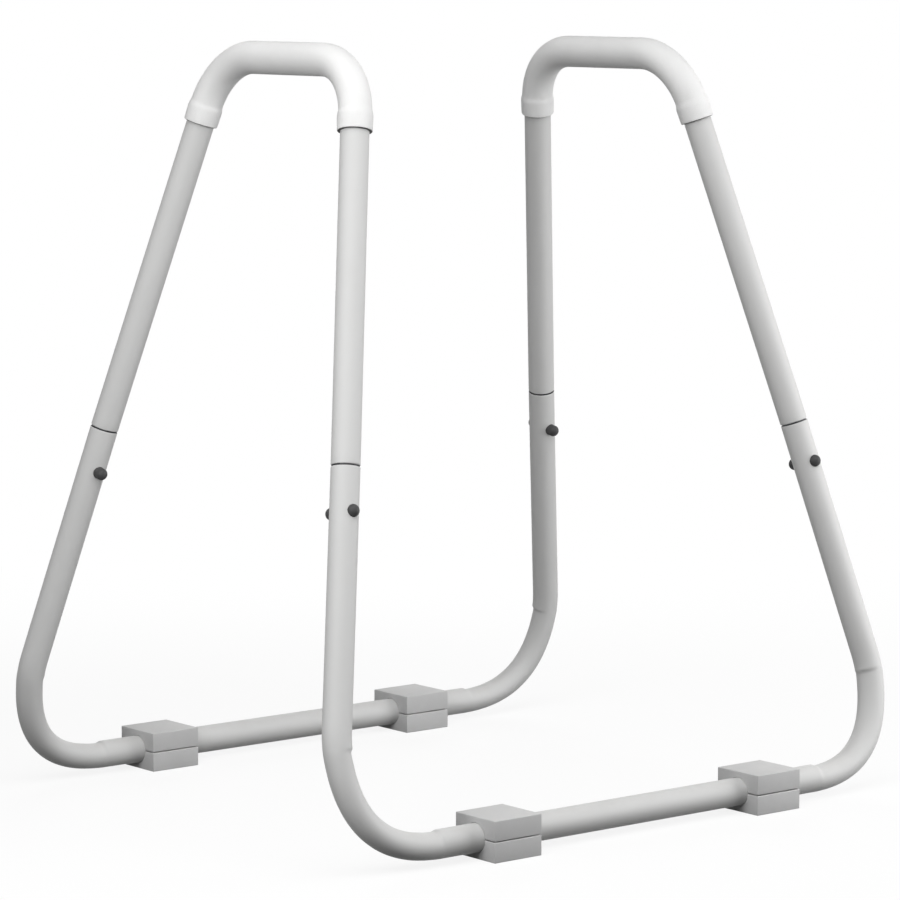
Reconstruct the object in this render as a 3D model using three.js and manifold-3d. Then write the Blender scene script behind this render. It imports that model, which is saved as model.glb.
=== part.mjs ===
// Dip station: a free-standing four-legged stand with two parallel handles.
// Two U-shaped base tubes lie on clamped feet, one at the front and one at the rear, and their ends
// turn up as lower legs. Two inverted-U handle tubes plug into them and carry a foam grip each.
// Millimetres, +Z up, +X to the user's right, the rear base tube towards +Y. The origin is on the
// floor, in the middle of the stand.
import * as THREE from 'three';
import { mergeVertices } from 'three/addons/utils/BufferGeometryUtils.js';
import Module from 'manifold-3d';

const wasm = await Module();
wasm.setup();

// Overall places of the frame, each a half distance from the middle or a height above the floor
const baseCornerX = 458.6;
const baseBarY = 347.9;
const handleX = 256.5;
const handleCornerY = 136.7;
const handleHeight = 932;
const seamHeight = 464;

// How far the legs bow outward at the joint between a lower leg and its handle tube
const seamBowX = 0.9;
const seamBowY = 3.15;

// Tubes
const tubeDiameter = 35;
const tubeWall = 1.5;
const baseBendRadius = 112.5;
const handleBendRadius = 83.5;
const bendFlat = 2.4;
const bendFlatRun = 9;
const clearance = 0.3;

// Reduced end of a handle tube, which goes down inside the lower leg
const spigotLength = 86;
const swageLength = 3.5;
const seamGap = 1.2;
const spigotChamfer = 1.5;

// Foam grips
const gripThickness = 2.5;
const gripEndDrop = 83.1;
const collarRise = 1.5;
const collarLength = 20.5;
const collarSlope = 6.5;
const collarChamfer = 2;

// Feet, each two half blocks clamped round a base bar
const footLength = 72;
const footWidth = 73;
const footHeight = 50.4;
const footX = 211.2;
const footChamfer = 1;
const partingGap = 0.3;

// Clamp screws
const screwDiameter = 5;
const screwHeadDiameter = 9;
const screwHeadHeight = 4.5;
const screwHeadSink = 2.5;
const screwTopCover = 9;
const screwSocketWidth = 4;
const screwSocketDepth = 2.6;
const screwPitchX = 44;
const screwPitchY = 54;

// Snap buttons and the bent strip springs that carry them
const buttonDrop = 53;
const buttonDiameter = 15;
const outerButtonReach = 6.8;
const innerButtonReach = 12.8;
const buttonDomeHeight = 5.6;
const springWidth = 9;
const springThickness = 0.8;
const springFootLength = 13;
const springArmLength = 38;
const springTopHalfWidth = 4;
const springBendRadius = 3;

// How finely round things are cut
const tubeSides = 16;
const buttonSides = 12;
const screwSides = 8;
const socketSides = 6;
const domeSteps = 3;
const baseBendSteps = 8;
const handleBendSteps = 7;
const springBendSteps = 3;

// Sizes that follow from the ones above
const tubeRadius = tubeDiameter / 2;
const boreRadius = tubeRadius - tubeWall;
const barHeight = footHeight / 2;
const spigotRadius = boreRadius - clearance;
const spigotBoreRadius = spigotRadius - tubeWall;
const swageStep = tubeRadius - spigotRadius;
const gripBoreRadius = tubeRadius + clearance;
const gripRadius = gripBoreRadius + gripThickness;
const buttonRadius = buttonDiameter / 2;
const buttonHoleRadius = buttonRadius + clearance;
const springReach = Math.sqrt(spigotBoreRadius ** 2 - (springWidth / 2) ** 2) - clearance;
const buttonFoot = springReach + clearance;
const cutOverrun = tubeDiameter;

// A many-sided hole is drawn round its circle, so that its flats, not its corners, keep the radius
const roundTheFlats = (radius, sides) => radius / Math.cos(Math.PI / sides);

// Finishes
const finish = (color, roughness, metalness) => {
  return new THREE.MeshStandardMaterial({ color, roughness, metalness });
};
const tubeFinish = [0xcdcdcd, 0.45, 0.1];
const gripFinish = [0xe6e6e6, 0.85, 0];
const footFinish = [0xbfbfbf, 0.8, 0];
const buttonFinish = [0x404040, 0.45, 0];
const springFinish = [0xb9bcbf, 0.3, 1];
const screwFinish = [0x7c7f82, 0.35, 1];

// Path of a bent tube or strip: straight stretches between corner points, with each corner rounded.
// It is sampled only at its stations: both ends, chosen distances from them, evenly round each bend,
// and at chosen runs from where a bend starts and ends.
class BentPath extends THREE.Curve {
  constructor(corners, bendRadius, bendSteps, { endStations = [], bendRuns = [] } = {}) {
    super();
    this.stations = [];
    const first = corners[0];
    const firstWay = corners[1].clone().sub(first).normalize();
    for (const distance of [0, ...endStations]) {
      this.add(first.clone().addScaledVector(firstWay, distance), firstWay);
    }
    for (let corner = 1; corner < corners.length - 1; corner += 1) {
      this.addBend(corners.slice(corner - 1, corner + 2), bendRadius, bendSteps, bendRuns);
    }
    const last = corners[corners.length - 1];
    const lastWay = last.clone().sub(corners[corners.length - 2]).normalize();
    for (const distance of [...endStations].reverse().concat(0)) {
      this.add(last.clone().addScaledVector(lastWay, -distance), lastWay);
    }
  }

  add(point, tangent, inward = null, pressed = false) {
    this.stations.push({ point, tangent: tangent.clone(), inward, pressed });
  }

  addBend([before, corner, after], radius, steps, runs) {
    const wayIn = corner.clone().sub(before).normalize();
    const wayOut = after.clone().sub(corner).normalize();
    const turn = wayIn.angleTo(wayOut);
    const start = corner.clone().addScaledVector(wayIn, -radius * Math.tan(turn / 2));
    const inward = wayOut.clone().addScaledVector(wayIn, -wayOut.dot(wayIn)).normalize();
    const centre = start.clone().addScaledVector(inward, radius);
    const angles = Array.from({ length: steps + 1 }, (_, step) => (turn * step) / steps);
    for (const run of runs) angles.push(run / radius, turn - run / radius);
    angles.sort((one, other) => one - other);
    angles.forEach((angle, place) => {
      const outward = inward.clone().multiplyScalar(-Math.cos(angle)).addScaledVector(wayIn, Math.sin(angle));
      const tangent = wayIn.clone().multiplyScalar(Math.cos(angle)).addScaledVector(inward, Math.sin(angle));
      const pressed = place > 0 && place < angles.length - 1;
      this.add(centre.clone().addScaledVector(outward, radius), tangent, outward.negate(), pressed);
    });
  }

  // Goes on straight beyond both ends, to tips that may lie a little off the line
  extend(tips, tipStations) {
    const joints = [this.stations[0], this.stations[this.stations.length - 1]];
    joints.forEach((joint, end) => {
      const fromTip = joint.point.clone().sub(tips[end]).normalize();
      const tangent = fromTip.clone().multiplyScalar(end === 0 ? 1 : -1);
      joint.tangent.add(tangent).normalize();
      const stretch = [0, ...tipStations].map((distance) => {
        return { point: tips[end].clone().addScaledVector(fromTip, distance), tangent };
      });
      if (end === 0) this.stations.unshift(...stretch);
      else this.stations.push(...stretch.reverse());
    });
  }

  stationAt(share) {
    return this.stations[Math.round(share * (this.stations.length - 1))];
  }

  getPointAt(share, target = new THREE.Vector3()) {
    return target.copy(this.stationAt(share).point);
  }

  getTangentAt(share, target = new THREE.Vector3()) {
    return target.copy(this.stationAt(share).tangent);
  }
}

// Shape of a ring, or of a disc where it has no inner radius
function ringShape(outerRadius, innerRadius, sides) {
  const shape = new THREE.Shape().absarc(0, 0, outerRadius, 0, 2 * Math.PI);
  if (innerRadius > 0) {
    shape.holes.push(new THREE.Path().absarc(0, 0, roundTheFlats(innerRadius, sides), 0, 2 * Math.PI, true));
  }
  return shape;
}

// Shape swept along a path, with shared vertices merged
function sweep(shape, path, sides) {
  const steps = path.stations.length - 1;
  const options = { steps, extrudePath: path, curveSegments: sides / 2, bevelEnabled: false };
  return welded(new THREE.ExtrudeGeometry(shape, options));
}

function welded(geometry) {
  geometry.deleteAttribute('normal');
  geometry.deleteAttribute('uv');
  return mergeVertices(geometry);
}

// Moves every vertex of a swept body: reshape gets its offset from the path and the nearest station
function reshapeRings(geometry, path, reshape) {
  const place = geometry.attributes.position;
  const vertex = new THREE.Vector3();
  for (let index = 0; index < place.count; index += 1) {
    vertex.fromBufferAttribute(place, index);
    let nearest = path.stations[0];
    for (const station of path.stations) {
      const isNearer = vertex.distanceToSquared(station.point) < vertex.distanceToSquared(nearest.point);
      if (isNearer) nearest = station;
    }
    const offset = vertex.clone().sub(nearest.point);
    reshape(offset, nearest);
    place.setXYZ(index, ...nearest.point.clone().add(offset).toArray());
  }
  return geometry;
}

const changeRadius = (offset, change) => offset.setLength(offset.length() + change);

// Solids for cutting
function toSolid(geometry) {
  const body = geometry.attributes.normal ? welded(geometry) : geometry;
  const vertProperties = new Float32Array(body.attributes.position.array);
  const triVerts = new Uint32Array(body.index.array);
  return new wasm.Manifold(new wasm.Mesh({ numProp: 3, vertProperties, triVerts }));
}

function toGeometry(solid) {
  const mesh = solid.getMesh();
  const geometry = new THREE.BufferGeometry();
  geometry.setAttribute('position', new THREE.BufferAttribute(new Float32Array(mesh.vertProperties), 3));
  geometry.setIndex(new THREE.BufferAttribute(new Uint32Array(mesh.triVerts), 1));
  geometry.computeVertexNormals();
  return geometry;
}

function cut(geometry, tools) {
  return toGeometry(tools.reduce((body, tool) => body.subtract(toSolid(tool)), toSolid(geometry)));
}

// Round bar for cutting a hole, along direction and centred on place
function drill(radius, length, sides, place, direction) {
  const cornerRadius = roundTheFlats(radius, sides);
  const bar = new THREE.CylinderGeometry(cornerRadius, cornerRadius, length, sides);
  bar.applyQuaternion(new THREE.Quaternion().setFromUnitVectors(new THREE.Vector3(0, 1, 0), direction));
  return bar.translate(place.x, place.y, place.z);
}

// The four legs. A lower leg rises from its base corner to its lip, and the spigot in it runs in line
// with it. Just above the lip, at the neck, the upper leg goes on to the handle corner.
const sideNames = { '-1': 'left', 1: 'right' };
const endNames = { '-1': 'front', 1: 'rear' };
const sides = [-1, 1];
const ends = [-1, 1];

function makeLeg(side, end) {
  const bottom = new THREE.Vector3(side * baseCornerX, end * baseBarY, barHeight);
  const top = new THREE.Vector3(side * handleX, end * handleCornerY, handleHeight);
  const lip = bottom.clone().lerp(top, (seamHeight - barHeight) / (handleHeight - barHeight));
  lip.add(new THREE.Vector3(side * seamBowX, end * seamBowY, 0));
  const up = lip.clone().sub(bottom).normalize();
  const neck = lip.clone().addScaledVector(up, seamGap);
  const upperUp = top.clone().sub(neck).normalize();
  const button = lip.clone().addScaledVector(up, -buttonDrop);
  const straightOut = new THREE.Vector3(0, end, 0);
  const outward = straightOut.clone().addScaledVector(up, -straightOut.dot(up)).normalize();
  const across = up.clone().cross(outward);
  const axes = new THREE.Matrix4().makeBasis(outward, across, up);
  const turn = new THREE.Quaternion().setFromRotationMatrix(axes);
  const spigotEnd = lip.clone().addScaledVector(up, -spigotLength);
  const gripEnd = top.clone().addScaledVector(upperUp, -gripEndDrop / upperUp.z);
  const name = `${endNames[end]}_${sideNames[side]}`;
  return { name, bottom, top, lip, neck, upperUp, button, outward, turn, spigotEnd, gripEnd };
}

const legs = sides.map((side) => ends.map((end) => makeLeg(side, end)));
const allLegs = legs.flat();
const buttonHole = (leg) => drill(buttonHoleRadius, 2 * cutOverrun, buttonSides, leg.button, leg.outward);

// Base tube: a bar along X with both ends bent up into lower legs. Each bend is pressed flat inside.
function makeBaseTube(end) {
  const [left, right] = legs.map((pair) => pair[ends.indexOf(end)]);
  const corners = [left.lip, left.bottom, right.bottom, right.lip];
  const path = new BentPath(corners, baseBendRadius, baseBendSteps, { bendRuns: [bendFlatRun] });
  const tube = sweep(ringShape(tubeRadius, boreRadius, tubeSides), path, tubeSides);
  reshapeRings(tube, path, (offset, station) => {
    if (!station.pressed) return;
    const wallRadius = offset.length() > (tubeRadius + boreRadius) / 2 ? tubeRadius : boreRadius;
    const overrun = offset.dot(station.inward) - (wallRadius - bendFlat);
    if (overrun > 0) offset.addScaledVector(station.inward, -overrun);
  });
  return cut(tube, [left, right].map(buttonHole));
}

// Handle tube: a handle along Y with both ends bent down into upper legs. Below its neck each leg is
// swaged down to a spigot that fits the bore of the lower leg.
function makeHandleTube(side) {
  const [front, rear] = legs[sides.indexOf(side)];
  const swageMiddle = spigotLength + seamGap + swageLength / 2;
  const corners = [front.neck, front.top, rear.top, rear.neck];
  const tips = [front.spigotEnd, rear.spigotEnd];
  const endStations = [swageLength];
  const path = new BentPath(corners, handleBendRadius, handleBendSteps, { endStations });
  path.extend(tips, [spigotChamfer]);
  const tube = sweep(ringShape(tubeRadius, boreRadius, tubeSides), path, tubeSides);
  reshapeRings(tube, path, (offset, station) => {
    const fromTip = Math.min(...tips.map((tip) => tip.distanceTo(station.point)));
    if (fromTip > swageMiddle) return;
    const outside = offset.length() > (tubeRadius + boreRadius) / 2;
    const atTip = fromTip < spigotChamfer / 2;
    changeRadius(offset, -swageStep - (outside && atTip ? tubeWall / 2 : 0));
  });
  return cut(tube, [front, rear].map(buttonHole));
}

// Foam grip: a sleeve over the handle and both of its bends, thicker in a collar at each end
function makeGrip(side) {
  const [front, rear] = legs[sides.indexOf(side)];
  const corners = [front.gripEnd, front.top, rear.top, rear.gripEnd];
  const turn = front.upperUp.angleTo(new THREE.Vector3(0, 1, 0));
  const straight = front.gripEnd.distanceTo(front.top) - handleBendRadius * Math.tan(turn / 2);
  const collarStations = [collarLength, collarLength + collarSlope];
  const endStations = [collarChamfer, ...collarStations.filter((distance) => distance < straight)];
  const bendRuns = collarStations.filter((distance) => distance > straight).map((distance) => distance - straight);
  const path = new BentPath(corners, handleBendRadius, handleBendSteps, { endStations, bendRuns });
  const sleeve = sweep(ringShape(gripRadius, gripBoreRadius, tubeSides), path, tubeSides);
  const mouths = [front.gripEnd, rear.gripEnd];
  reshapeRings(sleeve, path, (offset, station) => {
    if (offset.length() < (gripRadius + gripBoreRadius) / 2) return;
    const fromMouth = Math.min(...mouths.map((mouth) => mouth.distanceTo(station.point)));
    if (fromMouth < collarChamfer / 2) changeRadius(offset, collarRise - collarChamfer);
    else if (fromMouth < collarLength + collarSlope / 2) changeRadius(offset, collarRise);
  });
  return toGeometry(toSolid(sleeve));
}

// Foot: two half blocks with a shared bore for the bar. The screws come up from the sole.
function footOutline() {
  const halfLength = footLength / 2;
  const halfWidth = footWidth / 2;
  const points = [];
  for (const [alongX, alongY] of [[1, 1], [-1, 1], [-1, -1], [1, -1]]) {
    const shortX = new THREE.Vector2(alongX * (halfLength - footChamfer), alongY * halfWidth);
    const shortY = new THREE.Vector2(alongX * halfLength, alongY * (halfWidth - footChamfer));
    points.push(...(alongX * alongY > 0 ? [shortY, shortX] : [shortX, shortY]));
  }
  return new THREE.Shape(points);
}

const screwPlaces = sides.flatMap((side) => {
  return ends.map((end) => [(side * screwPitchX) / 2, (end * screwPitchY) / 2]);
});
const screwSeat = screwHeadSink + screwHeadHeight;
const screwTip = footHeight - screwTopCover;

function makeFootHalf(isTop) {
  const height = barHeight - partingGap / 2;
  const options = {
    depth: height - 2 * footChamfer,
    bevelThickness: footChamfer,
    bevelSize: footChamfer,
    bevelOffset: -footChamfer,
    bevelSegments: 1,
  };
  const block = new THREE.ExtrudeGeometry(footOutline(), options);
  block.translate(0, 0, footChamfer + (isTop ? barHeight + partingGap / 2 : 0));
  const barCentre = new THREE.Vector3(0, 0, barHeight);
  const alongBar = new THREE.Vector3(1, 0, 0);
  const upward = new THREE.Vector3(0, 0, 1);
  const tools = [drill(tubeRadius + clearance, footLength + cutOverrun, tubeSides, barCentre, alongBar)];
  for (const [x, y] of screwPlaces) {
    const shankHole = screwTip + clearance;
    const shankCentre = new THREE.Vector3(x, y, shankHole / 2);
    tools.push(drill(screwDiameter / 2 + clearance, shankHole, screwSides, shankCentre, upward));
    const headCentre = new THREE.Vector3(x, y, screwSeat + clearance - cutOverrun / 2);
    const headHoleRadius = screwHeadDiameter / 2 + clearance;
    if (!isTop) tools.push(drill(headHoleRadius, cutOverrun, screwSides, headCentre, upward));
  }
  return cut(block, tools);
}

// Clamp screw: a socket-head screw standing head down, from its head's face up
function makeScrew() {
  const shank = screwDiameter / 2;
  const head = screwHeadDiameter / 2;
  const length = screwTip - screwHeadSink;
  const profile = [
    new THREE.Vector2(0, 0),
    new THREE.Vector2(head, 0),
    new THREE.Vector2(head, screwHeadHeight),
    new THREE.Vector2(shank, screwHeadHeight),
    new THREE.Vector2(shank, length - shank),
    new THREE.Vector2(shank / 2, length),
    new THREE.Vector2(0, length),
  ];
  const body = new THREE.LatheGeometry(profile, screwSides).rotateX(Math.PI / 2);
  const socketRadius = screwSocketWidth / 2;
  const socket = new THREE.CylinderGeometry(socketRadius, socketRadius, 2 * screwSocketDepth, socketSides);
  return cut(body, [socket.rotateX(Math.PI / 2)]);
}

// Snap button: a round plug with a domed tip, standing on the spring along its own +Z
function makeButton(reach) {
  const tip = tubeRadius + reach;
  const shoulder = tip - buttonDomeHeight;
  const profile = [new THREE.Vector2(0, buttonFoot), new THREE.Vector2(buttonRadius, buttonFoot)];
  for (let step = 0; step < domeSteps; step += 1) {
    const angle = (Math.PI / 2) * (step / domeSteps);
    const height = shoulder + buttonDomeHeight * Math.sin(angle);
    profile.push(new THREE.Vector2(buttonRadius * Math.cos(angle), height));
  }
  profile.push(new THREE.Vector2(0, tip));
  return toGeometry(toSolid(new THREE.LatheGeometry(profile, buttonSides).rotateX(Math.PI / 2)));
}

// Spring: a flat strip bent into a narrow V, whose two straight feet carry the buttons of one leg
function makeSpring() {
  const arm = springReach - springThickness / 2;
  const corners = [
    [-arm, -springFootLength],
    [-arm, springFootLength],
    [-springTopHalfWidth, springFootLength + springArmLength],
    [springTopHalfWidth, springFootLength + springArmLength],
    [arm, springFootLength],
    [arm, -springFootLength],
  ];
  const path = new BentPath(
    corners.map(([x, z]) => new THREE.Vector3(x, 0, z)),
    springBendRadius,
    springBendSteps,
  );
  const halfWidth = springWidth / 2;
  const halfThickness = springThickness / 2;
  const strip = new THREE.Shape([
    new THREE.Vector2(-halfWidth, -halfThickness),
    new THREE.Vector2(halfWidth, -halfThickness),
    new THREE.Vector2(halfWidth, halfThickness),
    new THREE.Vector2(-halfWidth, halfThickness),
  ]);
  return toGeometry(toSolid(sweep(strip, path, tubeSides)));
}

// The assembly
const station = new THREE.Group();

function place(parent, name, geometry, look) {
  const mesh = new THREE.Mesh(geometry, finish(...look));
  mesh.name = name;
  parent.add(mesh);
  return mesh;
}

for (const end of ends) place(station, `base_tube_${endNames[end]}`, makeBaseTube(end), tubeFinish);
for (const side of sides) {
  place(station, `handle_tube_${sideNames[side]}`, makeHandleTube(side), tubeFinish);
  place(station, `grip_${sideNames[side]}`, makeGrip(side), gripFinish);
}

const footTop = makeFootHalf(true);
const footBottom = makeFootHalf(false);
const screw = makeScrew();
for (const side of sides) {
  for (const end of ends) {
    const name = `${endNames[end]}_${sideNames[side]}`;
    const foot = new THREE.Group();
    foot.position.set(side * footX, end * baseBarY, 0);
    place(foot, `foot_top_${name}`, footTop.clone(), footFinish);
    place(foot, `foot_bottom_${name}`, footBottom.clone(), footFinish);
    screwPlaces.forEach(([x, y], index) => {
      const fastener = place(foot, `foot_screw_${name}_${index + 1}`, screw.clone(), screwFinish);
      fastener.position.set(x, y, screwHeadSink);
    });
    station.add(foot);
  }
}

const spring = makeSpring();
const buttonOut = makeButton(outerButtonReach).rotateY(Math.PI / 2);
const buttonIn = makeButton(innerButtonReach).rotateY(-Math.PI / 2);
for (const leg of allLegs) {
  const lock = new THREE.Group();
  lock.position.copy(leg.button);
  lock.quaternion.copy(leg.turn);
  place(lock, `snap_spring_${leg.name}`, spring.clone(), springFinish);
  place(lock, `snap_button_outer_${leg.name}`, buttonOut.clone(), buttonFinish);
  place(lock, `snap_button_inner_${leg.name}`, buttonIn.clone(), buttonFinish);
  station.add(lock);
}

export default station;
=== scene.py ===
# %% [markdown]
# # Dressing a dip station
#
# The stand is four bent tubes: two lie on the floor and turn up at both ends, and two handle frames
# plug into them. Its hard facts, such as where every tube runs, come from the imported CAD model.
# This lesson puts the looks on: round tubes with pressed bends, foam grips, moulded feet, the snap
# buttons, and a finish for each. Everything is in metres, in the CAD model's own frame.

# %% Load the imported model
import math

import bmesh
import bpy
from mathutils import Matrix, Vector


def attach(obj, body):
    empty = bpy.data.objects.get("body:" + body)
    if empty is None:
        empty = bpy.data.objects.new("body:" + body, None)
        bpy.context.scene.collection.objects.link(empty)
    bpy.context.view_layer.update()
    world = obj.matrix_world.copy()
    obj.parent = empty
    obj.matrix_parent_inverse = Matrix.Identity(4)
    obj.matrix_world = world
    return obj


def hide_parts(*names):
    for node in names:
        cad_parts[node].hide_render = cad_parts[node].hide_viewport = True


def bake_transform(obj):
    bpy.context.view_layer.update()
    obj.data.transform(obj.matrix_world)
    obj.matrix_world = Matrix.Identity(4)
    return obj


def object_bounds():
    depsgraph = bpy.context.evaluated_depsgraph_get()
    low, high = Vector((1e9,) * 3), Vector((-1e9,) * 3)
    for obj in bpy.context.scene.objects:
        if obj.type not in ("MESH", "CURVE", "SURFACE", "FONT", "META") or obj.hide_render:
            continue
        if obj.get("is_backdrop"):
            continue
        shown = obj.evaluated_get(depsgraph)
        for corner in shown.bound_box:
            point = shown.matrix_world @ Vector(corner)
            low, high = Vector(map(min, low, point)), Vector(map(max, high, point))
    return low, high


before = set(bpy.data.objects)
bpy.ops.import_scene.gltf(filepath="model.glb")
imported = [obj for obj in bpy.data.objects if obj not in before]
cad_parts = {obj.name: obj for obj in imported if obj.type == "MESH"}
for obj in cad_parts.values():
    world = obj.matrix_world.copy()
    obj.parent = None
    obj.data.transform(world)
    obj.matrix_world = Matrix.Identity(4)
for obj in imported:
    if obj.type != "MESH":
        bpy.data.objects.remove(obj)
cad_box = [list(corner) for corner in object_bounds()]

# %% [markdown]
# ## The camera
#
# The stand is seen from its front left corner, a little above the handles, through a long lens from
# five metres away, so that its tubes stay nearly parallel. A camera can be turned with three
# angles, but it is surer to say where it looks, from which side and how far off, and to let
# `to_track_quat` turn its back to the way it came from.

# %% Place the camera
LOOK_AT = Vector((-0.00236, 0.0, 0.4333))
CAMERA_DISTANCE = 5.1427
CAMERA_AZIMUTH = math.radians(-39.126)
CAMERA_ELEVATION = math.radians(6.926)
LENS = 162.09
SENSOR = 36.0

away = Vector((math.sin(CAMERA_AZIMUTH), -math.cos(CAMERA_AZIMUTH), 0.0))
away *= math.cos(CAMERA_ELEVATION)
away.z = math.sin(CAMERA_ELEVATION)
camera_data = bpy.data.cameras.new("photo_camera")
camera_data.sensor_width = SENSOR
camera_data.lens = LENS
camera = bpy.data.objects.new("photo_camera", camera_data)
camera.location = LOOK_AT + away * CAMERA_DISTANCE
camera.rotation_euler = away.to_track_quat("Z", "Y").to_euler()
bpy.context.scene.collection.objects.link(camera)
bpy.context.scene.camera = camera
bpy.context.scene.view_settings.view_transform = "Standard"
print("camera at", [round(c, 3) for c in camera.location])

# %% [markdown]
# ## Node helpers
#
# Materials here are small graphs of nodes. A few helpers keep them readable: they add a node, set
# its plain numbers and link what changes over the surface. The shared effects below are node
# groups, whose sockets are made on the group's interface, so that each material can use them with
# its own values.


# %% Helpers for node graphs
def add_node(tree, kind, settings=None, **inputs):
    node = tree.nodes.new(kind)
    for key, value in (settings or {}).items():
        setattr(node, key, value)
    for name, value in inputs.items():
        node.inputs[name.replace("_", " ")].default_value = value
    return node


def empty_tree(owner):
    owner.use_nodes = True
    owner.node_tree.nodes.clear()
    return owner.node_tree


def new_group(name, inputs, outputs):
    tree = bpy.data.node_groups.new(name, "ShaderNodeTree")
    for socket, kind, value in inputs:
        made = tree.interface.new_socket(socket, in_out="INPUT", socket_type=kind)
        made.default_value = value
    for socket, kind in outputs:
        tree.interface.new_socket(socket, in_out="OUTPUT", socket_type=kind)
    return tree, tree.nodes.new("NodeGroupInput"), tree.nodes.new("NodeGroupOutput")


def use_group(tree, group, **inputs):
    return add_node(tree, "ShaderNodeGroup", {"node_tree": group}, **inputs)


def feed(tree, sockets, values):
    for socket, value in zip(sockets, values):
        if isinstance(value, bpy.types.NodeSocket):
            tree.links.new(value, socket)
        else:
            socket.default_value = value


def read_place(tree, socket):
    tree.links.new(add_node(tree, "ShaderNodeTexCoord").outputs["Object"], socket)


def maths(tree, operation, first, second):
    node = add_node(tree, "ShaderNodeMath", {"operation": operation})
    feed(tree, node.inputs, (first, second))
    return node.outputs[0]


def remap(tree, value, low, high, to_low=0.0, to_high=1.0):
    node = add_node(tree, "ShaderNodeMapRange", {"interpolation_type": "SMOOTHSTEP"})
    sockets = [node.inputs[name] for name in ("Value", "From Min", "From Max", "To Min", "To Max")]
    feed(tree, sockets, (value, low, high, to_low, to_high))
    return node.outputs["Result"]


def mix_colours(tree, share, first, second):
    node = add_node(tree, "ShaderNodeMix", {"data_type": "RGBA"})
    feed(tree, (node.inputs[0], node.inputs[6], node.inputs[7]), (share, first, second))
    return node.outputs[2]


def mix_shaders(tree, share, first, second):
    node = add_node(tree, "ShaderNodeMixShader")
    feed(tree, node.inputs, (share, first, second))
    return node.outputs[0]


def noise(tree, scale, detail, roughness):
    node = add_node(tree, "ShaderNodeTexNoise", Detail=detail, Roughness=roughness)
    read_place(tree, node.inputs["Vector"])
    feed(tree, [node.inputs["Scale"]], [scale])
    return node.outputs["Fac"]


print("node helpers ready")

# %% [markdown]
# ## Shared effect: an uneven skin
#
# No coat, foam or rubber is perfectly even. Powder coat flows into a fine orange peel, foam has
# pores, moulded rubber has a grain. All three are a small noise that lifts the surface a little,
# and a broad, faint noise that shifts its tone. One group makes both: the material says how fine
# the small noise is and how strong the broad one is. Noise is read from Object coordinates, which
# are metres here, so a scale of 700 gives bumps of about 1.4 mm on every piece alike.

# %% Node group: uneven skin
skin, skin_in, skin_out = new_group(
    "uneven_skin",
    [
        ("Grain Scale", "NodeSocketFloat", 700.0),
        ("Tone Scale", "NodeSocketFloat", 9.0),
        ("Tone Strength", "NodeSocketFloat", 0.05),
        ("Colour", "NodeSocketColor", (0.5, 0.5, 0.5, 1.0)),
    ],
    [("Colour", "NodeSocketColor"), ("Height", "NodeSocketFloat"), ("Tone", "NodeSocketFloat")],
)
grain = noise(skin, skin_in.outputs["Grain Scale"], 3.0, 0.55)
tone = noise(skin, skin_in.outputs["Tone Scale"], 4.0, 0.6)
swing = maths(skin, "SUBTRACT", tone, 0.5)
shift = maths(skin, "MULTIPLY", swing, skin_in.outputs["Tone Strength"])
brightness = maths(skin, "ADD", 1.0, shift)
lit = add_node(skin, "ShaderNodeVectorMath", {"operation": "SCALE"})
skin.links.new(skin_in.outputs["Colour"], lit.inputs[0])
skin.links.new(brightness, lit.inputs["Scale"])
feed(skin, skin_out.inputs, (lit.outputs[0], grain, tone))
print("group:", skin.name, [s.name for s in skin.interface.items_tree])

# %% [markdown]
# ## Shared effect: worn edges
#
# Edges are what hands, floors and car boots rub first. An edge can be found in the shader by
# comparing the true normal with the one that a Bevel node has rounded off: they agree on a flat
# face and part near an edge. Broken up by noise, that gives a mask that follows every edge of a
# piece without painting it, and the material decides what a worn edge looks like.

# %% Node group: worn edges
EDGE_AGREES = (0.995, 0.90)
PATCH_RANGE = (0.42, 0.62)

worn, worn_in, worn_out = new_group(
    "worn_edges",
    [("Reach", "NodeSocketFloat", 0.0012), ("Patch Scale", "NodeSocketFloat", 60.0)],
    [("Mask", "NodeSocketFloat")],
)
rounded = add_node(worn, "ShaderNodeBevel", {"samples": 6})
worn.links.new(worn_in.outputs["Reach"], rounded.inputs["Radius"])
true_normal = add_node(worn, "ShaderNodeNewGeometry")
agree = add_node(worn, "ShaderNodeVectorMath", {"operation": "DOT_PRODUCT"})
feed(worn, agree.inputs, (rounded.outputs["Normal"], true_normal.outputs["Normal"]))
edge = remap(worn, agree.outputs["Value"], *EDGE_AGREES)
patches = noise(worn, worn_in.outputs["Patch Scale"], 5.0, 0.7)
broken = remap(worn, patches, *PATCH_RANGE)
worn.links.new(maths(worn, "MULTIPLY", edge, broken), worn_out.inputs["Mask"])
print("group:", worn.name)

# %% [markdown]
# ## Shared effect: floor dust
#
# A stand that is used indoors gathers a faint film of dust on whatever faces up close to the floor.
# Two facts make the mask: how far the face points up, and how low it lies.

# %% Node group: floor dust
FACING_UP = (0.35, 0.95)
LOW_DOWN = (1.0, 0.2)
CLOUD_SCALE = 35.0
NOISE_RANGE = (0.3, 0.7)

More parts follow.
